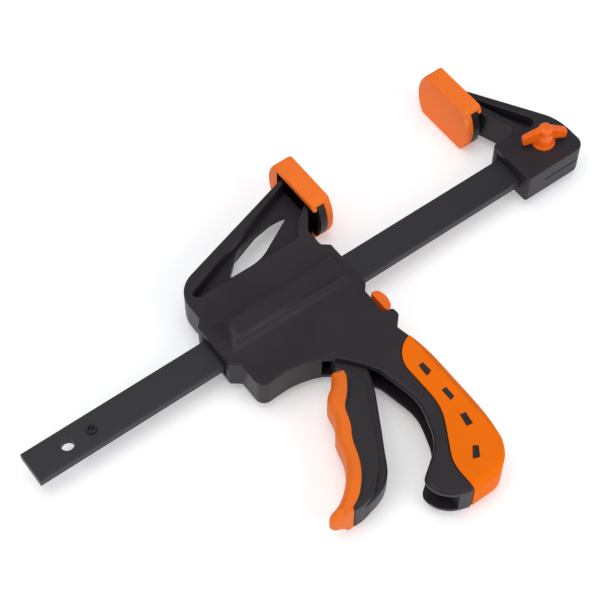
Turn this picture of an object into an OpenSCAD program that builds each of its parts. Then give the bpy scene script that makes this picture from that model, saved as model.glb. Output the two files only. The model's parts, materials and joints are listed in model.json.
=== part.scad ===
// Quick release bar clamp: a flat steel bar, a fixed jaw bolted to its end and a moving jaw
// moulded in one with the handle, which a trigger walks along the bar.
// Each piece is drawn on the bar: x along it from the tail, y towards the jaw tips, z up.
// The moving pieces are drawn from the left end of the moving jaw. to_row() puts all of it down
// on the floor, centred.

/* [Opening] */
// Gap between the two pads as the clamp lies
opening = 85.8; // [5:0.1:140]

/* [Bar] */
// Length of the bar
bar_len = 316.5; // [270:0.5:420]
// Width of the bar
bar_w = 17.3; // [15:0.1:20.8]
// Thickness of the bar
bar_t = 5.3; // [4:0.1:6]
// Rounding of the four long edges
bar_edge_r = 0.8; // [0.3:0.1:1.2]
// Hole for the wing screw, and the like hole in the tail for a hook
bolt_hole_d = 6.5; // [6.2:0.1:7.5]
// Tail end to the hanging hole
hang_x = 20; // [12:0.5:25]
// Tail end to the stop pin
stop_x = 33; // [30:0.5:45]
// Outside of the stop pin
stop_d = 5.3; // [4:0.1:6]
// Bore of the stop pin, which is rolled from sheet
stop_bore = 2.9; // [1.5:0.1:3]
// Height of the stop pin above each face of the bar
stop_rise = 0.7; // [0.5:0.1:2]

/* [Moulded walls] */
// Thickness of the handle and jaw
body_t = 18.4; // [15.3:0.1:21]
// Thickness of the fixed jaw
fixed_t = 18; // [17:0.1:21]
// Thickness of the web between the jaw's flanges
web_t = 3.8; // [2.5:0.1:6]
// Width of the space inside for plates and trigger
cavity_w = 12.4; // [11.5:0.1:13]
// Slot that the bar runs in is larger than the bar by this, all round
bar_fit = 0.2; // [0.1:0.05:0.35]

/* [Pads] */
// Width of a pad, across the clamp
pad_w = 29.4; // [27:0.1:35.3]
// Height of the lower tip of a pad above the bar's centre line
pad_lo = 29.6; // [28:0.1:32]
// Height of the upper tip of a pad
pad_hi = 70.8; // [66:0.1:74]
// How far a pad's ends bulge
pad_bow = 5.2; // [2:0.1:6]
// Thickness in front of the backing plate
pad_face_t = 4.4; // [3:0.1:6]
// Thickness of the lip behind the backing plate
pad_lip_t = 2.9; // [2:0.1:4]
// Width of the lip that holds the pad on
pad_lip_w = 4; // [3:0.1:4.4]
// Thickness of the jaw's backing plate
plate_t = 3.8; // [3:0.1:5]
// Clearance of the pad round its plate
pad_fit = 0.1; // [0.05:0.05:0.3]

/* [Wing screw] */
// Diameter of the screw's thread
screw_d = 6; // [5:0.1:6]
// Across the flats of its nut
nut_af = 10; // [9:0.1:11]
// Thickness of its nut
nut_t = 4; // [3:0.1:4.5]
// Height of the knob above the jaw
knob_h = 12.2; // [10:0.1:16]
// Radius of the knob's foot
knob_foot_r = 6.1; // [5.5:0.1:8]
// Tip to tip of the two wings
wing_span = 23.4; // [18:0.1:28]
// Thickness of a wing
wing_t = 3.2; // [2.5:0.1:4.5]
// Angle of the wings from the bar
wing_turn = -22; // [-90:1:90]

/* [Trigger] */
// Swing of the trigger from rest until it meets the handle
trigger_swing = 15; // [6:0.5:15]
// Thickness of the trigger's finger grip
trigger_t = 17.8; // [16:0.1:18.4]
// Pivot pin
pivot_d = 4; // [3:0.1:5]
// Radius of the nose
nose_r = 3.2; // [2.5:0.1:3.4]
// Clearance of a part that turns or slides on another
run_fit = 0.08; // [0.04:0.01:0.1]

/* [Plates and springs] */
// Thickness of a drive plate
drive_t = 2.5; // [2:0.1:3]
// Thickness of the brake plate
brake_t = 2.8; // [2:0.1:3]
// Lean of the brake plate when it grips the bar
brake_lean = 4; // [2:0.5:4.5]
// Play of the plates' windows on the bar's width
plate_play = 0.32; // [0.3:0.01:0.4]
// Wire of the drive spring
drive_wire = 1.4; // [1:0.1:1.6]
// Curls of the drive spring
drive_curls = 5; // [3:1:7]
// Wire of the brake spring
brake_wire = 0.7; // [0.5:0.1:0.9]
// Curls of the brake spring
brake_curls = 6; // [4:1:8]

/* [Handle grip] */
// Thickness of the soft skin on the handle's back
skin_t = 2.8; // [2.4:0.1:3.4]
// Thickness of the soft skin on the handle's sides
skin_side_t = 1.6; // [1.2:0.1:2]
// How far the skin stands above the hard faces
skin_rise = 0.4; // [0:0.1:0.8]
// Length of a boss that shows through the skin
boss_l = 6; // [4:0.1:8]
// Width of such a boss
boss_w = 2.8; // [2:0.1:4]

/* [Hidden] */
$fn = 64;
graphite = "#3a383c";
blacked = "#2b2a2d";
orange = "#f4761c";
zinc = "#9a9ca0";
spring_steel = "#7d8085";

// Half sizes and clearances
bar_hw = bar_w / 2;
bar_ht = bar_t / 2;
collar_low = bar_hw + 3.85;
collar_high = bar_hw + 4.35;
body_ht = body_t / 2;
fixed_ht = fixed_t / 2;
pad_hw = pad_w / 2;
cavity_hw = cavity_w / 2;
skin_ht = body_ht + skin_rise;
play = 0.2;
past = 1;
far = 400;

// Fixed jaw, from its own left face
fixed_len = 38;
fixed_grip = 32.5;
fixed_plate_back = 5.4;
knob_x = 21.5;
fixed_x = bar_len - fixed_grip;
fixed_face_x = fixed_x + fixed_plate_back - plate_t - pad_face_t;
screw_x = fixed_x + knob_x;

// Moving jaw, from its own left face
body_len = 79.4;
plate_back = 85.6;
body_face_x = plate_back + plate_t + pad_face_t;
body_x = fixed_face_x - opening - body_face_x;
floor_y = -130.8;

// Where the row's origin lies
row_mid_x = (fixed_x + fixed_len) / 2;
row_mid_y = (floor_y + pad_hi) / 2;

// Trigger, plates and springs, from the moving jaw's left face
pivot = [48.4, -28.5];
nose_gap = 0.35;
nose = [pivot.x, -bar_hw - nose_gap - nose_r];
nose_arm = nose.y - pivot.y;
plates_right = nose.x - nose_r - 0.1;
plate_gap = 0.05;
plate_hw = cavity_hw - play;
drive_top = bar_hw + 3.35;
drive_low = -bar_hw - 8.35;
slot_left = plates_right - 2 * drive_t - plate_gap - nose_arm * sin(trigger_swing) - 0.7;
mouth_left = 36.8;
drive_left = plates_right - 2 * drive_t - plate_gap;
drive_end = drive_left - 0.05;
drive_start = 16;
drive_mean_r = bar_hw + 1.1 + drive_wire / 2;
drive_well_r = drive_mean_r + drive_wire / 2 + 0.5;
bulge_top = drive_well_r + 1.45;
bulge_from = 4.4;
bulge_to = 76.8;
brake_pivot = [69.9, collar_high + 0.6];
brake_low = -44;
brake_well = [65.1, 74.2];
brake_spring_y = -15;
brake_spring_r = 2.5;
brake_spring_from = 60.5;
brake_spring_to = brake_pivot.x - brake_t / 2 - 0.25
    + (brake_pivot.y - brake_spring_y) * tan(brake_lean);
button_y = [-collar_low - 7.3, -collar_low - 19.4];
button_hw = cavity_hw + 0.8;
button_front = 11.3;
window_fit = 0.6;

// The stop pin and the two pads give the slide its travel
echo(open_travel = body_x - stop_x - stop_d / 2, close_travel = opening);
echo(widest_opening = opening + body_x - stop_x - stop_d / 2);

// ---------- Outlines ----------

function way(from, to) = (to - from) / norm(to - from);
function flat(p) = [p[0], p[1]];

// Points of an arc that rounds the corner `at`, written [x, y, radius]
function corner_arc(before, at, after) =
    let (p = flat(at), r = at[2])
    r <= 0 ? [p] :
    let (
        u = way(p, flat(before)),
        v = way(p, flat(after)),
        half = acos(max(-1, min(1, u * v))) / 2,
        c = p + (u + v) / norm(u + v) * r / sin(half),
        a = p + u * r / tan(half) - c,
        b = p + v * r / tan(half) - c,
        start = atan2(a.y, a.x),
        turn = atan2(cross(a, b), a * b),
        steps = max(3, ceil(abs(turn) / 8))
    )
    [for (i = [0 : steps]) c + r * [cos(start + turn * i / steps), sin(start + turn * i / steps)]];

// A closed outline with every corner rounded by its own radius
function rounded(corners) =
    let (n = len(corners))
    [for (i = [0 : n - 1]) each corner_arc(corners[(i + n - 1) % n], corners[i], corners[(i + 1) % n])];

// A smooth curve through points, from the first to the last
function through(points, steps = 4) =
    let (last = len(points) - 1)
    [for (i = [0 : last - 1])
        let (
            a = points[max(0, i - 1)],
            b = points[i],
            c = points[i + 1],
            d = points[min(last, i + 2)]
        )
        for (k = [0 : steps - (i == last - 1 ? 0 : 1)])
            let (t = k / steps)
            ((2 * b) + (c - a) * t + (2 * a - 5 * b + 4 * c - d) * t * t
                + (3 * b - a - 3 * c + d) * t * t * t) / 2];

function backwards(points) = [for (i = [len(points) - 1 : -1 : 0]) points[i]];

// The same corners, counter-clockwise, with every edge moved in by d
function inset(corners, d) =
    let (n = len(corners))
    [for (i = [0 : n - 1])
        let (
            p = flat(corners[i]),
            e = way(flat(corners[(i + n - 1) % n]), p),
            f = way(p, flat(corners[(i + 1) % n])),
            ne = [-e.y, e.x],
            nf = [-f.y, f.x],
            q = p + (ne + nf) * d / (1 + ne * nf),
            r = corners[i][2]
        )
        [q.x, q.y, r <= 0 ? 0 : max(0.3, cross(e, f) > 0 ? r - d : r + d)]];

// Moving jaw with handle, counter-clockwise from under the bar's entry
body_corners = [
    [0, -collar_low, 1.2], [4.6, -collar_low - 3.7, 1.2], [4.6, -32, 5], [22, -31.2, 40],
    [39.5, -35.4, 26], [54.2, -54.5, 30], [59.6, -80, 26], [52.3, -101.4, 22],
    [35.5, -113, 4.5], [35.5, -120.4, 12], [41.4, -126.9, 14], [50.5, floor_y, 30],
    [74.6, floor_y, 18],
    [80, -102, 90], [81.4, -68, 90], [76, -42.6, 2], [81.2, -37.4, 2],
    [80.9, -32.9, 1.6], [76.2, -32.9, 1], [76.2, -collar_low - 5.1, 1.2],
    [body_len, -collar_low - 1.5, 1.2], [body_len, collar_high + 0.6, 1.2],
    [75.4, collar_high + 3.8, 1.2], [75.4, 27.5, 3], [plate_back, 40, 0], [plate_back, 61.1, 0],
    [3.4, 36.4, 15], [3.4, collar_high + 4, 1.2], [0, collar_high, 1.2]
];

// Pocket in each side of the moving jaw, between its flanges
pocket_corners = [
    [8.6, 26.6, 2.4], [68.3, 26.6, 1], [75, 34.8, 4], [84, 41.6, 1],
    [plate_back, 41.6, 0], [plate_back, 58.3, 0], [8.6, 30.3, 1.6]
];

// Leaf-shaped hole through the moving jaw's web
leaf_corners = [[29.9, 30.4, 0.8], [49.4, 30.4, 24], [77, 45.2, 1.2], [67, 46.4, 22], [43.4, 42.4, 16]];

// Soft skin's front edge on the handle's side, closed far behind the handle
skin_corners = [[far, -49.7, 0], [65.4, -49.7, 15], [65.8, -89, 30], [51.2, -114.5, 20],
    [50.6, -far, 0], [far, -far, 0]];

// Space for trigger and plates, which runs on down the handle's open inner side
channel_corners = [
    [slot_left, drive_top + 0.6, 0.5], [slot_left, drive_low - 3, 1], [mouth_left, -24, 1],
    [mouth_left, -60, 0], [-20, -60, 0], [-20, -far, 0],
    [44.4, -far, 0], [44.4, -119, 8], [66, -104, 14], [69.8, -78, 26],
    [65, -52, 10], [57.5, -34, 6], [57.5, -bar_hw, 0], [plates_right + 0.7, -bar_hw, 0],
    [plates_right + 0.7, drive_top + 0.6, 0.5]
];

// Front of the trigger, from its top down round the tip to the rear end of the grip
front_line = through([
    [41.3, -46.4], [38.4, -44.2], [36.2, -43.9], [34.4, -46.6], [31.8, -49.4], [28.2, -51.8],
    [25.7, -54.6], [24.7, -57.6], [24, -61.3], [22.6, -64.9], [20.4, -67.9], [18.7, -70.3],
    [17.6, -73.4], [16.6, -77.4], [15.1, -81.6], [12.8, -85.8], [9.8, -89.9], [6.2, -93.6],
    [2.6, -96.5], [-1.4, -98.7], [-5.2, -99.8], [-7.9, -100.9], [-8.7, -102.6], [-7.4, -104.4],
    [-4.6, -105.6], [-1.2, -106.4], [1.6, -106.7]
]);

// Where the soft finger grip ends and the hard lever begins, from the top down
grip_line = through([
    [41.3, -46.4], [40.7, -49.4], [37.9, -53.8], [34.4, -58], [31.4, -60.8], [29.4, -63.8],
    [28, -68], [26.2, -72], [23.8, -75.8], [22.2, -78.9], [21, -82.4], [19.5, -86.5],
    [17.4, -90.7], [14.7, -94.8], [11.5, -98.5], [8.4, -101.4], [5, -103.6], [2.3, -104.9], [1.6, -106.7]
]);

// Rear edge of the lever's wide part, from the bottom up
wide_rear = through([
    [1.6, -106.7], [6, -106.8], [10, -106.2], [13.9, -104.8], [17.4, -102.4], [20.9, -99],
    [24.1, -95.1], [27.1, -91], [30.8, -84.4], [35.6, -75.2], [40.6, -66.4], [44.2, -60],
    [44.7, -56.6], [44.1, -52.6], [43, -49], [41.3, -46.4]
]);

// Sunk panel in each side of the lever's wide part
panel_edge = concat(
    [[46, -44]],
    through([[42.2, -50.6], [40.2, -53.4], [37, -57.1], [33.6, -60.4], [31.5, -62.9], [30.1, -65.9],
        [28.4, -70.1], [25.9, -74.6], [23.5, -78.8], [22, -82.4], [20.8, -85.9], [18.6, -91.2],
        [16, -95.4], [12.6, -99.2], [8.9, -102.2], [6.6, -103.8]]),
    through([[8.6, -104.6], [12.4, -103.6], [16, -101.4], [19.6, -98.2], [25, -97.2]]),
    [[60, -60]]
);

// Narrow part of the lever, which goes up to the pivot and runs in between the handle's walls
narrow_edge = concat(
    [[pivot.x + 4, pivot.y], [pivot.x - 4, pivot.y], [40.6, -41.6], [42, -47], [42, -52], [38, -57.5],
        [32.5, -64], [30, -74], [25, -82], [20, -92], [13.5, -99.5], [6.6, -104.8]],
    through([[5, -106.3], [9.4, -106.9], [13.5, -106.3], [17.4, -105.2], [20.8, -103.7], [24.1, -101.3],
        [26.8, -98.4], [29.1, -94.8], [32, -89.6], [37.3, -80.6], [43.8, -69.2], [47.8, -62],
        [51.4, -53.6], [53.6, -44], [54.2, -34]])
);

// Fixed jaw, counter-clockwise from the lower corner at the bar's entry
fixed_corners = [
    [0, -bar_hw - 5.55, 1.6], [fixed_len, -bar_hw - 5.55, 6], [fixed_len, 7.3, 28],
    [fixed_plate_back, 59.3, 0], [fixed_plate_back, 40.4, 0], [15.4, bar_hw + 4.75, 3],
    [0, bar_hw + 4.75, 1.2]
];

// Drop-shaped pocket in each side of the fixed jaw
drop_corners = [[20.6, bar_hw + 2.65, 3.4], [29.4, bar_hw + 3.15, 3.6], [7.9, 48.4, 0.8]];

// ---------- Shared shapes ----------

module to_row() {
    translate([-row_mid_x, -row_mid_y, pad_hw]) children();
}

module on_body() {
    to_row() translate([body_x, 0, 0]) children();
}

module slab(corners, t) {
    translate([0, 0, -t / 2]) linear_extrude(t) polygon(rounded(corners));
}

// A hole or block along the bar, of the bar's section grown by `more`
module bar_block(from, to, more) {
    translate([from, -bar_hw - more, -bar_ht - more])
        cube([to - from, bar_w + 2 * more, bar_t + 2 * more]);
}

// The same outline cut out of both faces, down to a web of thickness t
module from_both_faces(corners, outer_t, t) {
    for (side = [0, 1]) mirror([0, 0, side])
        translate([0, 0, t / 2]) linear_extrude(outer_t) polygon(rounded(corners));
}

// Outline of a pad, narrower by `less` on its sides and lower by `drop` at its upper tip
module pad_outline(less, drop, low) {
    half = pad_hw - less;
    r = (pad_hw * pad_hw + pad_bow * pad_bow) / (2 * pad_bow);
    intersection() {
        translate([low, -half]) square([pad_hi - low, 2 * half]);
        translate([pad_hi - drop - r, 0]) circle(r);
        if (low >= pad_lo) translate([low + r, 0]) circle(r);
    }
}

// Stands an outline drawn in (y, z) up across the bar, from x over a thickness t
module across(x, t) {
    translate([x, 0, 0]) rotate([90, 0, 90]) linear_extrude(t) children();
}

// Backing plate that a pad slides on to; lies between x and x + plate_t
module backing_plate(x) {
    across(x, plate_t) pad_outline(pad_side, pad_side, pad_lo);
}
pad_side = 2.6;

// A pad whose clamping face lies at x, facing along `face`
module pad(x, face) {
    translate([x, 0, 0]) mirror([face > 0 ? 1 : 0, 0, 0]) difference() {
        across(0, pad_face_t + plate_t + pad_lip_t) pad_outline(0, 0, pad_lo);
        across(pad_face_t, plate_t + pad_fit)
            pad_outline(pad_side - pad_fit, pad_side - pad_fit, pad_lo - pad_w);
        across(pad_face_t + plate_t, pad_lip_t + past)
            translate([-far, -pad_hw + pad_lip_w]) square([far + pad_hi - 8.5, pad_w - 2 * pad_lip_w]);
    }
}

// Wire wound round the x axis: one tube, whose two ends run straight for one wire diameter
spring_sides = 6;
rings_per_curl = 8;

function helix_point(mean_r, from, to, wire, curls, i) =
    let (
        n = curls * rings_per_curl,
        a = 360 * i / rings_per_curl,
        x = from + wire + (to - from - 2 * wire) * i / n
    )
    [x, mean_r * cos(a), mean_r * sin(a)];

function spring_path(mean_r, from, to, wire, curls) =
    let (n = curls * rings_per_curl)
    [
        [from, mean_r, 0],
        each [for (i = [0 : n]) helix_point(mean_r, from, to, wire, curls, i)],
        [to, mean_r, 0]
    ];

function tube_ring(path, i, wire) =
    let (
        last = len(path) - 1,
        ahead = i == 0 || i == last ? [1, 0, 0] : way(path[i - 1], path[i + 1]),
        out = way([path[i].x, 0, 0], path[i]),
        side = cross(ahead, out) / norm(cross(ahead, out)),
        up = cross(side, ahead)
    )
    [for (k = [0 : spring_sides - 1])
        path[i] + wire / 2 * (up * cos(360 * k / spring_sides) + side * sin(360 * k / spring_sides))];

module wound_spring(mean_r, from, to, wire, curls) {
    path = spring_path(mean_r, from, to, wire, curls);
    rings = len(path);
    s = spring_sides;
    curl_gaps = [for (i = [1 : rings - 2 - rings_per_curl])
        norm(path[i + rings_per_curl] - path[i]) - wire];
    echo(least_gap_between_curls = min(curl_gaps));
    polyhedron(
        points = [for (i = [0 : rings - 1]) each tube_ring(path, i, wire)],
        faces = [
            [for (k = [0 : s - 1]) k],
            for (i = [0 : rings - 2]) for (k = [0 : s - 1])
                each [[i * s + k, (i + 1) * s + k, i * s + (k + 1) % s],
                    [i * s + (k + 1) % s, (i + 1) * s + k, (i + 1) * s + (k + 1) % s]],
            [for (k = [s - 1 : -1 : 0]) (rings - 1) * s + k]
        ]
    );
}

// ---------- Bar ----------

module bar() {
    r = bar_edge_r;
    section = [[-bar_hw, -bar_ht, r], [bar_hw, -bar_ht, r], [bar_hw, bar_ht, r], [-bar_hw, bar_ht, r]];
    color(blacked) to_row() difference() {
        across(0, bar_len) polygon(rounded(section));
        for (x = [hang_x, screw_x]) translate([x, 0, -bar_t]) cylinder(d = bolt_hole_d, h = 2 * bar_t);
        translate([stop_x, 0, -bar_t]) cylinder(d = stop_d, h = 2 * bar_t);
    }
}

module bar_stop_pin() {
    h = bar_t + 2 * stop_rise;
    color(zinc) to_row() translate([stop_x, 0, -h / 2]) difference() {
        cylinder(d = stop_d, h = h);
        translate([0, 0, -past]) cylinder(d = stop_bore, h = h + 2 * past);
    }
}

// ---------- Fixed jaw ----------

slit_from = 12;
slit_w = 0.9;
nut_floor = -fixed_ht + 0.2;

module nut_prism(across_flats, t) {
    cylinder(r = across_flats / sqrt(3), h = t, $fn = 6);
}

module fixed_jaw() {
    color(graphite) to_row() translate([fixed_x, 0, 0]) difference() {
        union() {
            slab(fixed_corners, fixed_t);
            backing_plate(fixed_plate_back - plate_t);
        }
        bar_block(-past, fixed_grip + play, bar_fit);
        from_both_faces(drop_corners, fixed_t, 5);
        translate([slit_from, -bar_w, -slit_w / 2]) cube([fixed_len, bar_w - bar_hw + 2, slit_w]);
        translate([knob_x, 0, -fixed_t]) cylinder(d = bolt_hole_d, h = 2 * fixed_t);
        translate([knob_x, 0, nut_floor - past - 0.2]) nut_prism(nut_af + 0.1, nut_t + past + 0.2);
    }
}

module fixed_jaw_pad() {
    color(orange) to_row() pad(fixed_face_x, -1);
}

screw_in_knob = 5;
knob_under = fixed_ht + 0.05;

module wing_knob() {
    top = knob_under + knob_h;
    wing_low = knob_under + 2.8;
    wing_high = top - 5;
    color(orange) to_row() translate([screw_x, 0, 0]) difference() {
        union() {
            rotate_extrude() polygon([
                [0, knob_under], [knob_foot_r, knob_under], [knob_foot_r, knob_under + 1.3],
                [knob_foot_r - 0.5, knob_under + 1.9], [4.7, knob_under + 5.8], [3.9, top - 4],
                [3.7, top - 1.6], [3.1, top - 0.5], [2.2, top], [0, top]
            ]);
            rotate([0, 0, wing_turn]) rotate([90, 0, 0]) translate([0, 0, -wing_t / 2])
                linear_extrude(wing_t) polygon(rounded([
                    [-wing_span / 2, wing_low - 0.9, 1.4], [-6, wing_low, 2], [6, wing_low, 2],
                    [wing_span / 2, wing_low - 0.9, 1.4], [wing_span / 2, wing_high, 1.6],
                    [3.6, top - 1, 2], [-3.6, top - 1, 2], [-wing_span / 2, wing_high, 1.6]
                ]));
        }
        translate([0, 0, knob_under - past])
            cylinder(r = screw_d / 2 + run_fit / 2, h = screw_in_knob + past);
    }
}

module wing_screw() {
    low = nut_floor + 0.3;
    color(zinc) to_row() translate([screw_x, 0, low])
        cylinder(d = screw_d, h = knob_under + screw_in_knob - low);
}

module jaw_nut() {
    color(zinc) to_row() translate([screw_x, 0, nut_floor]) difference() {
        nut_prism(nut_af, nut_t);
        translate([0, 0, -past]) cylinder(r = screw_d / 2 + run_fit / 2, h = nut_t + 2 * past);
    }
}

// ---------- Moving jaw and handle ----------

// Ridge over the bar and the spring, flat on top, with slanted flanks and ends
module bulge() {
    run_left = 7.8;
    run_right = 4.6;
    foot_hw = drive_well_r - 0.65;
    shoulder_hw = drive_well_r - 6.25;
    inside = body_ht - 1.2;
    intersection() {
        across(bulge_from, bulge_to - bulge_from) polygon(rounded([
            [-foot_hw, -inside, 0], [-shoulder_hw, -bulge_top, 4], [shoulder_hw, -bulge_top, 4],
            [foot_hw, -inside, 0], [foot_hw, inside, 0], [shoulder_hw, bulge_top, 4],
            [-shoulder_hw, bulge_top, 4], [-foot_hw, inside, 0]
        ]));
        rotate([90, 0, 0]) linear_extrude(4 * foot_hw, center = true) polygon([
            [bulge_from, -body_ht], [bulge_from + run_left, -bulge_top],
            [bulge_to - run_right, -bulge_top], [bulge_to, -body_ht],
            [bulge_to, body_ht], [bulge_to - run_right, bulge_top],
            [bulge_from + run_left, bulge_top], [bulge_from, body_ht]
        ]);
    }
}

// Side boss positions along the handle, each with its turn
boss_places = [[72, -68.4, 3], [72.1, -85.1, 0], [70.5, -100.4, -9], [63.4, -116.1, -34]];

module bosses() {
    for (b = boss_places) translate([b[0], b[1], -skin_ht]) rotate([0, 0, b[2]])
        translate([-boss_w / 2, -boss_l / 2, 0]) cube([boss_w, boss_l, 2 * skin_ht]);
}

// A bar of the skin's thickness that lies along y, with long right edges rounded for the palm
module palm_round(right) {
    r = 4.6;
    rotate([90, 0, 0]) linear_extrude(2 * far, center = true) polygon(rounded([
        [-far, -skin_ht, 0], [right, -skin_ht, r], [right, skin_ht, r], [-far, skin_ht, 0]
    ]));
}

// The skin as one shell: the handle's outside behind the front edge, less the core
module skin() {
    difference() {
        intersection() {
            slab(body_corners, 2 * skin_ht);
            slab(skin_corners, 2 * skin_ht);
            palm_round(81);
            rotate([0, 0, -90]) palm_round(-floor_y);
        }
        slab(inset(body_corners, skin_t), 2 * (skin_ht - skin_side_t));
        bosses();
    }
}

// What the skin takes out of the hard handle, and all that would stand proud of it
module skin_room() {
    difference() {
        slab(skin_corners, 2 * body_t);
        slab(inset(body_corners, skin_t), 2 * (skin_ht - skin_side_t));
        bosses();
    }
}

module bar_way() {
    bar_block(-past, body_len + past, bar_fit);
}

// Wider mouth that the bar goes in by
module bar_mouth() {
    translate([-past, -bar_hw - 0.9, -bar_ht - 3]) cube([past + 2, bar_w + 1.8, bar_t + 6]);
}

module drive_well() {
    translate([drive_start, 0, 0]) rotate([0, 90, 0])
        cylinder(r = drive_well_r, h = drive_end - drive_start + 0.2);
}

module brake_space() {
    notch = brake_bead_r + 0.2;
    top = brake_pivot.y + brake_bead_r + play;
    button_low = button_y[1] - window_fit;
    translate([0, 0, -cavity_hw]) linear_extrude(cavity_w) polygon([
        [brake_pivot.x - notch, top], [brake_pivot.x - notch, 11.2], [brake_well[0] + 1, 7],
        [brake_well[0], button_low], [brake_well[1], button_low], [brake_well[1], 7],
        [brake_pivot.x + notch, 11.2], [brake_pivot.x + notch, top]
    ]);
    translate([brake_well[0], button_low, -button_hw - window_fit])
        cube([body_len - brake_well[0] + past, button_y[0] - button_y[1] + 2 * window_fit,
            2 * (button_hw + window_fit)]);
    translate([brake_spring_from, brake_spring_y, 0]) rotate([0, 90, 0])
        cylinder(
            r = brake_spring_r + brake_wire / 2 + 0.5,
            h = brake_well[0] - brake_spring_from + past
        );
}

module pivot_bore() {
    translate([pivot.x, pivot.y, -body_t]) cylinder(d = pivot_d, h = body_t + pin_top);
}
pin_top = body_ht - 1.4;

module jaw_body() {
    color(graphite) on_body() difference() {
        union() {
            slab(body_corners, body_t);
            bulge();
            backing_plate(plate_back);
            bosses();
        }
        from_both_faces(pocket_corners, body_t, web_t);
        slab(leaf_corners, body_t);
        bar_way();
        bar_mouth();
        drive_well();
        slab(channel_corners, cavity_w);
        brake_space();
        pivot_bore();
        skin_room();
    }
}

module moving_jaw_pad() {
    color(orange) on_body() pad(body_face_x, 1);
}

module handle_grip() {
    color(orange) on_body() skin();
}

// ---------- Trigger ----------

module plate_of(points, t) {
    translate([0, 0, -t / 2]) linear_extrude(t) polygon(points);
}

module trigger() {
    side_t = trigger_t - 0.4;
    narrow_t = cavity_w - 4 * play;
    arm_hw = nose_r - 0.4;
    panel_depth = 0.6;
    color(graphite) on_body() difference() {
        union() {
            plate_of(concat(grip_line, wide_rear), side_t);
            plate_of(narrow_edge, narrow_t);
            translate([pivot.x, pivot.y, -narrow_t / 2]) cylinder(r = 6, h = narrow_t);
            translate([nose.x - arm_hw, pivot.y, -narrow_t / 2]) cube([2 * arm_hw, nose_arm, narrow_t]);
            translate([nose.x, nose.y, -narrow_t / 2]) cylinder(r = nose_r, h = narrow_t);
        }
        for (side = [0, 1]) mirror([0, 0, side])
            translate([0, 0, side_t / 2 - panel_depth]) linear_extrude(side_t) polygon(panel_edge);
        translate([pivot.x, pivot.y, -body_t]) cylinder(r = pivot_d / 2 + run_fit, h = 2 * body_t);
    }
}

module trigger_grip() {
    color(orange) on_body() plate_of(concat(front_line, backwards(grip_line)), trigger_t);
}

module trigger_pin() {
    low = -body_ht + 0.3;
    color(zinc) on_body() translate([pivot.x, pivot.y, low]) cylinder(d = pivot_d, h = pin_top - low);
}

// ---------- Plates and springs ----------

// A hardened plate with a window that the bar runs through; x is its left face
module bar_plate(x, t, low, top) {
    translate([x, 0, 0]) difference() {
        translate([0, low, -plate_hw]) cube([t, top - low, 2 * plate_hw]);
        bar_block(-past, t + past, plate_play / 2);
    }
}

module drive_plate_1() {
    color(zinc) on_body() bar_plate(plates_right - drive_t, drive_t, drive_low, drive_top);
}

module drive_plate_2() {
    color(zinc) on_body() bar_plate(drive_left, drive_t, drive_low, drive_top);
}

module drive_spring() {
    color(spring_steel) on_body()
        wound_spring(drive_mean_r, drive_start + 0.05, drive_end, drive_wire, drive_curls);
}

// Leans the brake's own frame about its upper edge; there the plate stands upright, centred on x = 0
module leaning() {
    translate([brake_pivot.x, brake_pivot.y, 0]) rotate([0, 0, brake_lean]) children();
}

// The plate, with a rolled bead along its upper edge that it rocks on
module brake_blank(more) {
    translate([-brake_t / 2 - more, brake_low - more, -plate_hw - more])
        cube([brake_t + 2 * more, more - brake_low, 2 * (plate_hw + more)]);
    translate([0, 0, -plate_hw]) cylinder(r = brake_bead_r, h = 2 * plate_hw);
}
brake_bead_r = brake_t / 2 + 0.2;

module brake_plate() {
    bar_centre = brake_pivot.y / cos(brake_lean);
    color(zinc) on_body() leaning() difference() {
        brake_blank(0);
        translate([-brake_t, -bar_centre - bar_hw - plate_play / 2, -bar_ht - plate_play])
            cube([2 * brake_t, bar_w + plate_play, bar_t + 2 * plate_play]);
    }
}

module release_button() {
    low = button_y[1] - brake_pivot.y;
    high = button_y[0] - brake_pivot.y;
    rear = -brake_t / 2 - 1.6;
    color(orange) on_body() leaning() difference() {
        translate([0, 0, -button_hw]) linear_extrude(2 * button_hw) polygon(rounded([
            [rear, low, 0.6], [button_front - 2.2, low, 3], [button_front, (low + high) / 2, 9],
            [button_front - 1.4, high, 3], [rear, high, 0.6]
        ]));
        brake_blank(0);
    }
}

module brake_spring() {
    color(spring_steel) on_body() translate([0, brake_spring_y, 0])
        wound_spring(brake_spring_r, brake_spring_from + 0.05, brake_spring_to, brake_wire, brake_curls);
}

bar();
bar_stop_pin();
fixed_jaw();
fixed_jaw_pad();
wing_knob();
wing_screw();
jaw_nut();
jaw_body();
moving_jaw_pad();
handle_grip();
trigger();
trigger_grip();
trigger_pin();
drive_plate_1();
drive_plate_2();
drive_spring();
brake_plate();
release_button();
brake_spring();
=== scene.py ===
import json
import math

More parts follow.
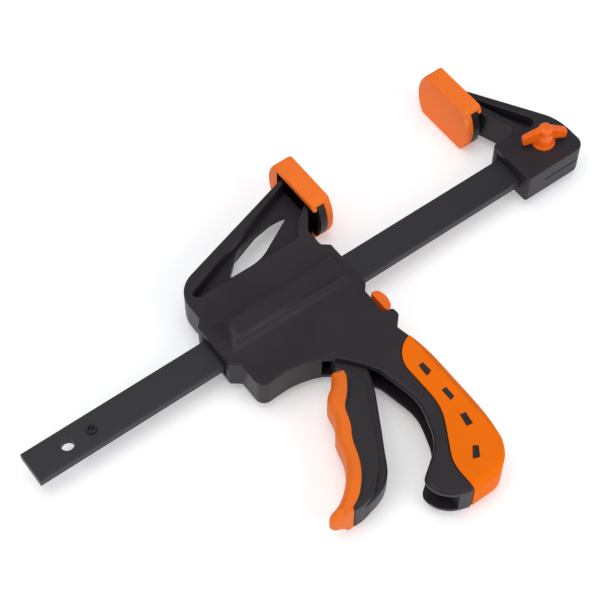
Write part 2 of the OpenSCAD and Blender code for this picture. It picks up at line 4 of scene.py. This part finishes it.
import bmesh
import bpy
from mathutils import Matrix, Vector
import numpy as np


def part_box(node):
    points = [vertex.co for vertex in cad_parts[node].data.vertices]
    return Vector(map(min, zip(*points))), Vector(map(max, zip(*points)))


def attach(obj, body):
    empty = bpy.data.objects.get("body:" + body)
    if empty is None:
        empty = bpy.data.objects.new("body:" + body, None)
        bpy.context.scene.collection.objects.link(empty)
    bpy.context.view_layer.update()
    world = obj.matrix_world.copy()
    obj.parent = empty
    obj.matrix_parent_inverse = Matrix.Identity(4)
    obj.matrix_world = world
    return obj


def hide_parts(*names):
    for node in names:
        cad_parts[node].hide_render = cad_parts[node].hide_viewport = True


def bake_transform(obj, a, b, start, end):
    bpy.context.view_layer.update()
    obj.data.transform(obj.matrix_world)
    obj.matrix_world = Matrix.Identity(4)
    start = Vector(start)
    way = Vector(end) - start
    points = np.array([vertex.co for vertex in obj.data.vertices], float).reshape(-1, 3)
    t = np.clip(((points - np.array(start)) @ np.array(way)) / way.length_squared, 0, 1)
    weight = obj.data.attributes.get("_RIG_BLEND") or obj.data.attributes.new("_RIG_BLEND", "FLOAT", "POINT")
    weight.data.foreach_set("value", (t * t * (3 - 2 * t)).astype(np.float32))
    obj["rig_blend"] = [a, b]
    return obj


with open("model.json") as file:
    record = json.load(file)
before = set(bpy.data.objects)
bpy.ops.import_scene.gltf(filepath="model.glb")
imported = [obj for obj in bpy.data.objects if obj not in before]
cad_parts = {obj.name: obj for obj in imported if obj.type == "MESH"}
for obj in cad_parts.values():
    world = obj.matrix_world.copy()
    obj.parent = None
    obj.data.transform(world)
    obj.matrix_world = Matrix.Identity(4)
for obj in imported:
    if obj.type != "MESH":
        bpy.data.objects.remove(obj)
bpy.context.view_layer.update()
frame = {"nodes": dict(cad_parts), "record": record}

# ---------------------------------------------------------------------------
# Camera, light and floor. The clamp lies on a pale table top under soft
# studio lamps and is seen from above the front of its tail.

VIEW_TURN = math.radians(-36.488)
VIEW_RISE = math.radians(57.162)
VIEW_FROM = Vector((-0.269948, -0.322853, 0.697095))
LENS = 100.80
SENSOR_WIDTH = 36
NEAREST = 0.05

scene = bpy.context.scene
scene.view_settings.view_transform = "Standard"

camera = bpy.data.objects.new("camera", bpy.data.cameras.new("camera"))
scene.collection.objects.link(camera)
camera.data.sensor_width = SENSOR_WIDTH
camera.data.lens = LENS
camera.data.clip_start = NEAREST
camera.location = VIEW_FROM
towards_camera = Vector((
    math.sin(VIEW_TURN) * math.cos(VIEW_RISE),
    -math.cos(VIEW_TURN) * math.cos(VIEW_RISE),
    math.sin(VIEW_RISE),
))
camera.rotation_mode = "QUATERNION"
camera.rotation_quaternion = (-towards_camera).to_track_quat("-Z", "Y")
scene.camera = camera

SKY_COLOUR = (0.93, 0.95, 1.0, 1)
SKY_STRENGTH = 0.4

scene.world = bpy.data.worlds.new("studio")
scene.world.use_nodes = True
sky = scene.world.node_tree.nodes["Background"]
sky.inputs["Color"].default_value = SKY_COLOUR
sky.inputs["Strength"].default_value = SKY_STRENGTH

# each lamp's name, place, width and power
LAMPS = (
    ("lamp_front", (0.40, -1.05, 0.70), 0.9, 6.0),
    ("lamp_left", (-1.2, -0.1, 0.7), 0.7, 3.4),
    ("lamp_top", (-0.15, 0.1, 1.5), 1.2, 9.6),
)

for name, place, width, power in LAMPS:
    soft_box = bpy.data.lights.new(name, "AREA")
    soft_box.shape = "SQUARE"
    soft_box.size = width
    soft_box.energy = power
    lamp = bpy.data.objects.new(name, soft_box)
    scene.collection.objects.link(lamp)
    lamp.location = place
    lamp.rotation_mode = "QUATERNION"
    lamp.rotation_quaternion = (-Vector(place)).to_track_quat("-Z", "Y")

FLOOR_REACH = 4
FLOOR_LOOK = {
    "Base Color": (0.9, 0.9, 0.9, 1),
    "Roughness": 0.9,
    "Emission Color": (1, 1, 1, 1),
    "Emission Strength": 0.27,
}

floor_mesh = bmesh.new()
bmesh.ops.create_grid(floor_mesh, x_segments=1, y_segments=1, size=FLOOR_REACH)
floor_data = bpy.data.meshes.new("floor")
floor_mesh.to_mesh(floor_data)
floor_mesh.free()
floor = bpy.data.objects.new("floor", floor_data)
scene.collection.objects.link(floor)
floor_paint = bpy.data.materials.new("table_top")
floor_paint.use_nodes = True
for label, value in FLOOR_LOOK.items():
    floor_paint.node_tree.nodes["Principled BSDF"].inputs[label].default_value = value
floor_data.materials.append(floor_paint)

# ---------------------------------------------------------------------------
# Bar and stop pin. Flat drawn steel with rounded long edges, cut to length,
# drilled and blackened. The blacking is rubbed through to grey along its
# edges. A rolled pin is pressed in near its tail.

# the frame is in metres, and the sizes in this file are in millimetres
MM = 0.001


def feed(tree, socket, value):
    """Gives a socket its number or colour, or links another socket to it."""
    if isinstance(value, bpy.types.NodeSocket):
        tree.links.new(value, socket)
    elif isinstance(value, tuple):
        socket.default_value = (*value, 1)
    else:
        socket.default_value = value


def new_group(name, inputs, outputs):
    """An empty node group; each socket is given as a name, a kind and a default."""
    group = bpy.data.node_groups.new(name, "ShaderNodeTree")
    for way, sockets in (("INPUT", inputs), ("OUTPUT", outputs)):
        for label, kind, value in sockets:
            socket = group.interface.new_socket(
                label, in_out=way, socket_type="NodeSocket" + kind)
            if value is not None:
                socket.default_value = value
    return group, group.nodes.new("NodeGroupInput"), group.nodes.new("NodeGroupOutput")


def noise(tree, coords, scale, detail, rough=0.5):
    """Cloudy noise from 0 to 1."""
    node = tree.nodes.new("ShaderNodeTexNoise")
    node.inputs["Detail"].default_value = detail
    node.inputs["Roughness"].default_value = rough
    feed(tree, node.inputs["Vector"], coords)
    feed(tree, node.inputs["Scale"], scale)
    return node.outputs["Fac"]


def spread(tree, value, low, high, to_low=0.0, to_high=1.0):
    """Maps low..high of a value to to_low..to_high, held at both ends."""
    node = tree.nodes.new("ShaderNodeMapRange")
    node.inputs["From Min"].default_value = low
    node.inputs["From Max"].default_value = high
    node.inputs["To Min"].default_value = to_low
    node.inputs["To Max"].default_value = to_high
    feed(tree, node.inputs["Value"], value)
    return node.outputs["Result"]


def maths(tree, kind, first, second):
    """One sum of two values."""
    node = tree.nodes.new("ShaderNodeMath")
    node.operation = kind
    feed(tree, node.inputs[0], first)
    feed(tree, node.inputs[1], second)
    return node.outputs["Value"]


def mix_colours(tree, fac, first, second):
    """Mixes two colours; each is a colour or a socket."""
    node = tree.nodes.new("ShaderNodeMix")
    node.data_type = "RGBA"
    for slot, value in ((0, fac), (6, first), (7, second)):
        feed(tree, node.inputs[slot], value)
    return node.outputs[2]


def mix_values(tree, fac, first, second):
    """Mixes two values; each is a number or a socket."""
    node = tree.nodes.new("ShaderNodeMix")
    for slot, value in ((0, fac), (2, first), (3, second)):
        feed(tree, node.inputs[slot], value)
    return node.outputs[0]


SPECK_SCALE = 900
SPECK_SHARE = 0.5
# the two noises together have to pass this level, which the amount of wear brings down
WEAR_START = 1.15
WEAR_REACH = 0.5
WEAR_STEEPNESS = 6.0


def edge_wear_group():
    """Mask of rubbed edges: the mesh's edge attribute, broken up by noise of two sizes."""
    group, given, made = new_group(
        "edge_wear",
        [("Vector", "Vector", None), ("Patch Size", "Float", 60.0), ("Amount", "Float", 0.5)],
        [("Wear", "Float", None)],
    )
    edge = group.nodes.new("ShaderNodeAttribute")
    edge.attribute_name = "edge"
    coords = given.outputs["Vector"]
    patches = noise(group, coords, given.outputs["Patch Size"], detail=4)
    specks = noise(group, coords, SPECK_SCALE, detail=2, rough=0.55)
    both = maths(group, "ADD", patches, maths(group, "MULTIPLY", specks, SPECK_SHARE))
    lowered = maths(group, "MULTIPLY", given.outputs["Amount"], WEAR_REACH)
    start = maths(group, "SUBTRACT", WEAR_START, lowered)
    over = maths(group, "MULTIPLY", maths(group, "SUBTRACT", both, start), WEAR_STEEPNESS)
    over.node.use_clamp = True
    feed(group, made.inputs["Wear"], maths(group, "MULTIPLY", over, edge.outputs["Fac"]))
    return group


def surface_group():
    """Fine moulded or rolled grain for bump, and slow patches that vary colour and gloss."""
    group, given, made = new_group(
        "surface_grain",
        [
            ("Vector", "Vector", None),
            ("Grain Scale", "Float", 1800.0),
            ("Patch Scale", "Float", 30.0),
        ],
        [("Grain", "Float", None), ("Patches", "Float", None)],
    )
    for label, detail, out in (("Grain Scale", 3, "Grain"), ("Patch Scale", 5, "Patches")):
        cloud = noise(group, given.outputs["Vector"], given.outputs[label], detail)
        feed(group, made.inputs[out], cloud)
    return group


edge_wear = edge_wear_group()
surface_grain = surface_group()

# the stretches of the patch noise over which a finish changes colour and gloss
COLOUR_STRETCH = (0.35, 0.65)
GLOSS_STRETCH = (0.3, 0.7)


def finish_of(name, colour, worn, grain, patches, grain_depth, wear, rough,
              worn_rough=0.35, shade=0.12, stretch=(1, 1, 1), **plain):
    """A material of one colour with slow patches, fine grain and edges rubbed to a second colour.

    grain and patches are noise scales, grain_depth is in millimetres, shade is how far the
    patches vary the colour, and plain goes to the shader's sockets of the same names.
    """
    material = bpy.data.materials.new(name)
    material.use_nodes = True
    tree = material.node_tree
    shader = tree.nodes["Principled BSDF"]
    for label, value in plain.items():
        socket_name = label.replace("_", " ").title().replace("Ior", "IOR")
        shader.inputs[socket_name].default_value = value

    coords = tree.nodes.new("ShaderNodeTexCoord").outputs["Object"]
    drawn_out = tree.nodes.new("ShaderNodeMapping")
    drawn_out.inputs["Scale"].default_value = stretch
    feed(tree, drawn_out.inputs["Vector"], coords)
    surface = tree.nodes.new("ShaderNodeGroup")
    surface.node_tree = surface_grain
    surface.inputs["Grain Scale"].default_value = grain
    surface.inputs["Patch Scale"].default_value = patches
    feed(tree, surface.inputs["Vector"], drawn_out.outputs["Vector"])
    rubbed = tree.nodes.new("ShaderNodeGroup")
    rubbed.node_tree = edge_wear
    rubbed.inputs["Amount"].default_value = wear
    feed(tree, rubbed.inputs["Vector"], coords)

    darker = tuple(c * (1 - shade) for c in colour)
    lighter = tuple(min(1, c * (1 + shade)) for c in colour)
    patch = spread(tree, surface.outputs["Patches"], *COLOUR_STRETCH)
    base = mix_colours(tree, patch, darker, lighter)
    base = mix_colours(tree, rubbed.outputs["Wear"], base, worn)
    feed(tree, shader.inputs["Base Color"], base)
    gloss = spread(tree, surface.outputs["Patches"], *GLOSS_STRETCH, *rough)
    gloss = mix_values(tree, rubbed.outputs["Wear"], gloss, worn_rough)
    feed(tree, shader.inputs["Roughness"], gloss)
    bump = tree.nodes.new("ShaderNodeBump")
    bump.inputs["Distance"].default_value = grain_depth * MM
    bump.inputs["Strength"].default_value = 1
    feed(tree, bump.inputs["Height"], surface.outputs["Grain"])
    feed(tree, shader.inputs["Normal"], bump.outputs["Normal"])
    return material


SAME_PLACE = 0.002 * MM
SAME_PLANE = math.radians(0.3)


def copy_of(node):
    """The node's CAD mesh, its loose triangles joined and flat faces made whole."""
    bm = bmesh.new()
    bm.from_mesh(frame["nodes"][node].data)
    bmesh.ops.remove_doubles(bm, verts=bm.verts, dist=SAME_PLACE)
    bmesh.ops.dissolve_limit(
        bm, angle_limit=SAME_PLANE, verts=bm.verts, edges=bm.edges,
        use_dissolve_boundaries=False)
    return bm


# The bar's middle lies this high above the table, and the mouldings' flat sides lie as far
# above it as below it, so the heights of their rims are measured from it.
MID_HEIGHT = 14.7
SAME_HEIGHT = 0.02


def rims(bm, height, within=None, sharper=32):
    """Outer edges of the flat faces that lie this high above and below the bar's middle."""
    picked = []
    for edge in bm.edges:
        if len(edge.link_faces) != 2 or not edge.is_convex:
            continue
        if edge.calc_face_angle(0) < math.radians(sharper):
            continue
        off = max(abs(abs(vert.co.z / MM - MID_HEIGHT) - height) for vert in edge.verts)
        if off < SAME_HEIGHT and (within is None or within(edge)):
            picked.append(edge)
    return picked


PARALLEL = 1e-16


def crossing(a, b, c, d):
    """The place in plan where the edges a-b and c-d cross, if they do."""
    first, second, gap = b - a, d - c, c - a
    turn = first.x * second.y - first.y * second.x
    if abs(turn) < PARALLEL:
        return None
    along = (gap.x * second.y - gap.y * second.x) / turn
    other = (gap.x * first.y - gap.y * first.x) / turn
    return a + first * along if 0 < along < 1 and 0 < other < 1 else None


LONGEST_TANGLE = 7
FEWEST_CORNERS = 6
LEVEL = 0.98


def tangle_in(face):
    """The first few corners of a face that have been turned over, and where its edges cross."""
    verts = list(face.verts)
    count = len(verts)
    for i in range(count):
        for step in range(2, min(LONGEST_TANGLE, count - 3)):
            far = i + step
            place = crossing(*(verts[k % count].co for k in (i, i + 1, far, far + 1)))
            if place is not None:
                return [verts[k % count] for k in range(i + 1, far + 1)], place
    return None


def untangle(bm):
    """Joins the corners of flat faces that a wide rounding has turned over."""
    found = True
    while found:
        level = [face for face in bm.faces if abs(face.normal.z) > LEVEL]
        wide = [face for face in level if len(face.verts) > FEWEST_CORNERS]
        found = next(filter(None, map(tangle_in, wide)), None)
        if found:
            corners, place = found
            bmesh.ops.pointmerge(bm, verts=corners, merge_co=place)


def round_edges(bm, edges, width, segments):
    """Rounds the edges, and marks them in the attribute that the edge wear reads."""
    mark = bm.verts.layers.float.get("edge") or bm.verts.layers.float.new("edge")
    made = bmesh.ops.bevel(
        bm, geom=edges, offset=width * MM, offset_type="OFFSET", affect="EDGES",
        segments=segments, profile=0.5, material=-1, clamp_overlap=False, loop_slide=True,
        miter_outer="SHARP", miter_inner="SHARP")
    strip = set(made["faces"])
    for face in strip:
        for vert in face.verts:
            if all(f in strip for f in vert.link_faces):
                vert[mark] = 1.0
    untangle(bm)


def piece_from(bm, name, material, flat_angle=32):
    """Turns the mesh into a smooth-shaded object whose flat faces stay flat."""
    bmesh.ops.dissolve_degenerate(bm, dist=SAME_PLACE, edges=bm.edges)
    data = bpy.data.meshes.new(name)
    bm.to_mesh(data)
    bm.free()
    data.shade_smooth()
    data.set_sharp_from_angle(angle=math.radians(flat_angle))
    data.materials.append(material)
    obj = bpy.data.objects.new(name, data)
    scene.collection.objects.link(obj)
    even = obj.modifiers.new("even_shading", "WEIGHTED_NORMAL")
    even.keep_sharp = True
    split = obj.modifiers.new("split_flat_faces", "TRIANGULATE")
    split.min_vertices = 5
    split.keep_custom_normals = True
    return obj


def stand_for(obj, node):
    """The piece takes the CAD node's place on the node's body, and the CAD node is hidden."""
    bodies = frame["record"]["behaviour"]["bodies"]
    body = next(name for name, nodes in bodies.items() if node in nodes)
    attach(obj, body)
    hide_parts(node)


bar_finish = finish_of(
    "blackened_steel", (0.0235, 0.0215, 0.025), worn=(0.22, 0.24, 0.28),
    grain=700.0, patches=25.0, grain_depth=0.012, wear=0.5, rough=(0.42, 0.55),
    stretch=(0.25, 1, 1), metallic=0.35)

BAR_HALF = 2.65
BAR_END_ROUND = 0.25
# on the long rounded edges the surface looks partly up or down and hardly along the bar
LEAST_TILT = 0.2
MOST_TILT = 0.97
MOST_ALONG = 0.5

bm = copy_of("bar")
round_edges(bm, rims(bm, BAR_HALF, sharper=50), BAR_END_ROUND, segments=2)
mark = bm.verts.layers.float["edge"]
for vert in bm.verts:
    if LEAST_TILT < abs(vert.normal.z) < MOST_TILT and abs(vert.normal.x) < MOST_ALONG:
        vert[mark] = 1.0
bar = piece_from(bm, "flat_bar", bar_finish)
stand_for(bar, "bar")

pin_finish = finish_of(
    "rolled_pin_steel", (0.018, 0.018, 0.019), worn=(0.12, 0.12, 0.13),
    grain=1800.0, patches=30.0, grain_depth=0.02, wear=0.3, rough=(0.35, 0.5), metallic=0.6)

stop_pin = piece_from(copy_of("bar_stop_pin"), "stop_pin", pin_finish)
stand_for(stop_pin, "bar_stop_pin")

# ---------------------------------------------------------------------------
# Fixed jaw. One glass-filled nylon moulding: a split collar on the bar, an
# arm with a drop-shaped pocket, and a plate that the pad is pushed over.

jaw_finish = finish_of(
    "moulded_nylon", (0.0225, 0.0192, 0.0232), worn=(0.05, 0.046, 0.054),
    grain=1500.0, patches=22.0, grain_depth=0.03, wear=0.35, rough=(0.36, 0.46),
    shade=0.18, specular_ior_level=0.22)

FIXED_HALF = 9
FIXED_ROUND = 0.7

bm = copy_of("fixed_jaw")
round_edges(bm, rims(bm, FIXED_HALF), FIXED_ROUND, segments=4)
fixed_jaw = piece_from(bm, "fixed_jaw_moulding", jaw_finish)
stand_for(fixed_jaw, "fixed_jaw")

# ---------------------------------------------------------------------------
# Pads. Two like sleeves of soft orange rubber, each pushed over its jaw's
# plate from above and finely pitted so that it doesn't slip.

pad_finish = finish_of(
    "pad_rubber", (0.92, 0.18, 0.018), worn=(0.95, 0.27, 0.05),
    grain=1100.0, patches=26.0, grain_depth=0.06, wear=0.6, rough=(0.5, 0.62),
    shade=0.06, specular_ior_level=0.2)

PRESS_ROUND = 1.6
PAD_ROUND = 0.9
CLEAR_ANGLE = 0.6


def outer_edges(bm):
    """All edges that stick out at a clear angle."""
    convex = [edge for edge in bm.edges if edge.is_convex]
    return [edge for edge in convex if edge.calc_face_angle(0) > CLEAR_ANGLE]


for node, name in (("fixed_jaw_pad", "fixed_pad"), ("moving_jaw_pad", "moving_pad")):
    bm = copy_of(node)
    press_face = max(bm.faces, key=lambda face: face.calc_area())
    round_edges(bm, list(press_face.edges), PRESS_ROUND, segments=6)
    round_edges(bm, outer_edges(bm), PAD_ROUND, segments=4)
    pad = piece_from(bm, name, pad_finish)
    stand_for(pad, node)

# ---------------------------------------------------------------------------
# Wing knob. Glossy orange plastic moulded on the wing screw's head, with
# soft rounded forms that run into each other.

knob_finish = finish_of(
    "knob_plastic", (0.92, 0.135, 0.002), worn=(0.95, 0.3, 0.08),
    grain=500.0, patches=60.0, grain_depth=0.01, wear=0.25, rough=(0.22, 0.3),
    shade=0.08, specular_ior_level=0.3, coat_weight=0.3, coat_roughness=0.07)

KNOB_FINENESS = 0.18
KNOB_SOFTENING = 14

knob = piece_from(copy_of("wing_knob"), "wing_knob_moulding", knob_finish, flat_angle=180)
knob.modifiers.remove(knob.modifiers["even_shading"])
blend = knob.modifiers.new("blend", "REMESH")
blend.mode = "VOXEL"
blend.voxel_size = KNOB_FINENESS * MM
blend.use_smooth_shade = True
soften = knob.modifiers.new("soften", "SMOOTH")
soften.factor = 0.5
soften.iterations = KNOB_SOFTENING
stand_for(knob, "wing_knob")

# ---------------------------------------------------------------------------
# Moving jaw and handle. One moulding: two flanges with a web between them,
# a collar with a flat-topped ridge over the bar, and a U-shaped handle. The
# handle's rims are rounder on its open side and its tip.

JAW_HALF = 9.2
JAW_ROUND = 0.8
ARCH_ROUND = 1.5
# the open side and the tip lie at smaller y and x than these
ARCH_START_Y = -24
ARCH_START_X = 6


def wall_faces(edge, x, y):
    """How far the upright wall below a rim looks in the plan direction x, y, from -1 to 1."""
    wall = min(edge.link_faces, key=lambda face: abs(face.normal.z)).normal
    return (wall.x * x + wall.y * y) / math.hypot(x, y)


def on_arch(edge):
    """Rims of the handle's open side and of its tip."""
    middle = (edge.verts[0].co + edge.verts[1].co) / (2 * MM)
    is_there = middle.y < ARCH_START_Y and middle.x < ARCH_START_X
    return is_there and wall_faces(edge, -1, -0.5) > 0.1


bm = copy_of("jaw_body")
round_edges(bm, rims(bm, JAW_HALF, within=on_arch), ARCH_ROUND, segments=5)
round_edges(bm, rims(bm, JAW_HALF), JAW_ROUND, segments=4)
jaw = piece_from(bm, "moving_jaw_moulding", jaw_finish)
stand_for(jaw, "jaw_body")

# ---------------------------------------------------------------------------
# Handle grip. Soft orange skin moulded round the back of the handle, flush
# with the hard side bosses that show through it. Both sides are alike, so
# the lower half is mirrored.

skin_finish = finish_of(
    "skin_rubber", (0.86, 0.155, 0.0008), worn=(0.88, 0.22, 0.02),
    grain=1300.0, patches=24.0, grain_depth=0.04, wear=0.3, rough=(0.6, 0.72),
    shade=0.05, specular_ior_level=0.1)

SKIN_HALF = 9.6
SKIN_ROUND = 1.2


def all_of(bm):
    """Every part of the mesh, as the cutting operators want it."""
    return bm.verts[:] + bm.edges[:] + bm.faces[:]


def on_back(edge):
    """Rims of the handle's outer side."""
    return wall_faces(edge, 1, 0.2) > 0.1


bm = copy_of("handle_grip")
bmesh.ops.translate(bm, verts=bm.verts, vec=(0, 0, -MID_HEIGHT * MM))
bmesh.ops.bisect_plane(
    bm, geom=all_of(bm), plane_co=(0, 0, 0), plane_no=(0, 0, 1), clear_outer=True)
bmesh.ops.mirror(bm, geom=all_of(bm), merge_dist=SAME_PLACE, axis="Z")
bmesh.ops.recalc_face_normals(bm, faces=bm.faces)
bmesh.ops.translate(bm, verts=bm.verts, vec=(0, 0, MID_HEIGHT * MM))
round_edges(bm, rims(bm, SKIN_HALF, within=on_back), SKIN_ROUND, segments=4)
skin = piece_from(bm, "handle_skin", skin_finish)
stand_for(skin, "handle_grip")

# ---------------------------------------------------------------------------
# Trigger lever. A black nylon moulding with a wide part that has a sunk
# panel in each side, and a narrower rear part.

trigger_finish = jaw_finish.copy()
trigger_finish.name = "trigger_nylon"

LEVER_HALF = 8.7
LEVER_ROUND = 0.8
LEVER_REAR_HALF = 5.8
LEVER_REAR_ROUND = 1.2


def on_lower_end(edge):
    """Rims of the wide part's lower end."""
    return wall_faces(edge, 0.3, -1) > 0.8


def on_rear(edge):
    """Rims of the side that faces the handle."""
    return wall_faces(edge, 1, -0.7) > 0.2


bm = copy_of("trigger")
round_edges(bm, rims(bm, LEVER_HALF, within=on_lower_end), LEVER_ROUND, segments=4)
round_edges(bm, rims(bm, LEVER_REAR_HALF, within=on_rear), LEVER_REAR_ROUND, segments=4)
lever = piece_from(bm, "trigger_lever", trigger_finish)
stand_for(lever, "trigger")

# ---------------------------------------------------------------------------
# Finger grip. Soft orange rubber moulded on the trigger's front. It is well
# rounded in front and at its tip, and nearly square where it meets the lever.

grip_finish = finish_of(
    "grip_rubber", (0.80, 0.15, 0.002), worn=(0.86, 0.24, 0.04),
    grain=1300.0, patches=24.0, grain_depth=0.04, wear=0.3, rough=(0.5, 0.64),
    shade=0.07, specular_ior_level=0.35)

GRIP_HALF = 8.9
GRIP_ROUND = 3.6
GRIP_ROUND_STEPS = 10
GRIP_TIP_ROUND = 6.5
GRIP_TIP = Vector((-66.5, -73.5)) * MM
# the tip's rounding is full up to the first distance from the tip and gone at the second
GRIP_TIP_NEAR = 6
GRIP_TIP_FAR = 18
# near the seam with the lever the rounding fades out over this distance
SEAM_ROUND = 0.5
SEAM_FADE = 5
# distances below which a corner counts as on the flat side or on the seam
ON_SIDE = 0.001
ON_SEAM = 0.01
# the furthest a corner moves, as a share of its way to the grip's middle line
MOST_INWARD = 0.8
# the rounding is marked as an edge up to this share of its height
WORN_UP_TO = 0.95
# the grip's middle line, from its top down to its tip
GRIP_SPINE = [Vector((x, y)) * MM for x, y in (
    (-20.6, -18.6), (-25.6, -24.4), (-31.4, -31.6), (-34.4, -39.6),
    (-38.4, -48.6), (-42.6, -57.6), (-50, -66.2), (-60, -73))]


def at_seam(edge):
    """Rims of the side that meets the lever."""
    return wall_faces(edge, 0.83, -0.55) > 0.4


def nearest_on(line, place):
    """The point of a line of straight stretches that lies nearest to a place in plan."""
    best = None
    for start, end in zip(line, line[1:]):
        along = max(0, min(1, (place - start).dot(end - start) / (end - start).length_squared))
        spot = start + (end - start) * along
        if best is None or (spot - place).length < (best - place).length:
            best = spot
    return best


bm = copy_of("trigger_grip")
seam_rims = rims(bm, GRIP_HALF, within=at_seam)
seam = [vert.co.xy.copy() for edge in seam_rims for vert in edge.verts]
round_edges(bm, seam_rims, SEAM_ROUND, segments=2)
for side in (-1, 1):
    for step in range(GRIP_ROUND_STEPS):
        down = GRIP_TIP_ROUND * (1 - math.sin(math.pi / 2 * step / GRIP_ROUND_STEPS))
        level = (MID_HEIGHT + side * (GRIP_HALF - down)) * MM
        bmesh.ops.bisect_plane(
            bm, geom=all_of(bm), dist=1e-6, plane_co=(0, 0, level), plane_no=(0, 0, 1))
mark = bm.verts.layers.float["edge"]
for vert in bm.verts:
    from_tip = (vert.co.xy - GRIP_TIP).length / MM
    share = max(0, min(1, (GRIP_TIP_FAR - from_tip) / (GRIP_TIP_FAR - GRIP_TIP_NEAR)))
    reach = GRIP_ROUND + (GRIP_TIP_ROUND - GRIP_ROUND) * share
    rise = abs(vert.co.z / MM - MID_HEIGHT) - (GRIP_HALF - reach)
    from_seam = min((vert.co.xy - spot).length for spot in seam) / MM
    if rise <= ON_SIDE or from_seam < ON_SEAM:
        continue
    inward = reach - math.sqrt(max(0, reach ** 2 - rise ** 2))
    inward *= min(1, from_seam / SEAM_FADE)
    to_spine = nearest_on(GRIP_SPINE, vert.co.xy) - vert.co.xy
    vert.co.xy += to_spine.normalized() * min(inward * MM, to_spine.length * MOST_INWARD)
    vert[mark] = 1.0 if rise < reach * WORN_UP_TO else 0.0
finger_grip = piece_from(bm, "finger_grip", grip_finish)
stand_for(finger_grip, "trigger_grip")

# ---------------------------------------------------------------------------
# Release button. A smooth orange plastic cap on the lower end of the brake
# plate, with a thinner stem that goes into the jaw.

button_finish = finish_of(
    "button_plastic", (0.92, 0.15, 0.006), worn=(0.95, 0.26, 0.03),
    grain=600.0, patches=60.0, grain_depth=0.01, wear=0.3, rough=(0.34, 0.42),
    shade=0.05, specular_ior_level=0.3)

# where the cap starts along the bar, and the share of its height that the stem keeps
STEM_END = 18.9
STEM_THIN = 0.55
CAP_ROUND = 0.8

bm = bmesh.new()
for is_cap in (True, False):
    half = copy_of("release_button")
    cut = bmesh.ops.bisect_plane(
        half, geom=all_of(half), plane_co=(STEM_END * MM, 0, 0), plane_no=(1, 0, 0),
        clear_inner=is_cap, clear_outer=not is_cap)
    cut_edges = [part for part in cut["geom_cut"] if isinstance(part, bmesh.types.BMEdge)]
    bmesh.ops.edgenet_fill(half, edges=cut_edges)
    bmesh.ops.recalc_face_normals(half, faces=half.faces)
    if is_cap:
        round_edges(half, outer_edges(half), CAP_ROUND, segments=4)
    else:
        from_middle = Matrix.Translation((0, 0, -MID_HEIGHT * MM))
        bmesh.ops.scale(half, verts=half.verts, vec=(1, 1, STEM_THIN), space=from_middle)
    half_data = bpy.data.meshes.new("button_half")
    half.to_mesh(half_data)
    half.free()
    bm.from_mesh(half_data)
    bpy.data.meshes.remove(half_data)
bmesh.ops.triangulate(bm, faces=bm.faces)
button = piece_from(bm, "release_cap", button_finish)
stand_for(button, "release_button")

# ---------------------------------------------------------------------------
# Plates, pin, screw and nut. Hardened plates grip the bar inside the jaw;
# the trigger's pin, the wing screw and its nut are zinc plated. They keep
# their CAD shapes and get their finish.

plate_finish = finish_of(
    "ground_plate_steel", (0.30, 0.30, 0.31), worn=(0.5, 0.5, 0.52),
    grain=900.0, patches=40.0, grain_depth=0.008, wear=0.4, rough=(0.3, 0.42),
    stretch=(1, 1, 0.2), metallic=1.0)

zinc_finish = finish_of(
    "zinc_plated_steel", (0.46, 0.47, 0.5), worn=(0.6, 0.6, 0.62),
    grain=600.0, patches=70.0, grain_depth=0.006, wear=0.3, rough=(0.28, 0.4),
    metallic=1.0)

for finish, nodes in (
    (plate_finish, ("drive_plate_1", "drive_plate_2", "brake_plate")),
    (zinc_finish, ("wing_screw", "jaw_nut", "trigger_pin")),
):
    for node in nodes:
        data = frame["nodes"][node].data
        data.materials.clear()
        data.materials.append(finish)

# ---------------------------------------------------------------------------
# Springs. Coils of oiled wire, each in a hollow of the jaw. The tail end
# stays with the jaw and the other end follows the plate that it pushes.

spring_finish = finish_of(
    "spring_wire", (0.22, 0.22, 0.23), worn=(0.4, 0.4, 0.42),
    grain=900.0, patches=50.0, grain_depth=0.006, wear=0.2, rough=(0.25, 0.38),
    metallic=1.0)

for node, name, pushed in (
    ("drive_spring", "drive_coil", "drive_plates"),
    ("brake_spring", "brake_coil", "brake"),
):
    coil = piece_from(copy_of(node), name, spring_finish, flat_angle=60)
    low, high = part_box(node)
    middle = (Vector(low) + Vector(high)) / 2
    tail_end = (low[0], middle.y, middle.z)
    pushed_end = (high[0], middle.y, middle.z)
    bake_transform(coil, "jaw", pushed, tail_end, pushed_end)
    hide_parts(node)
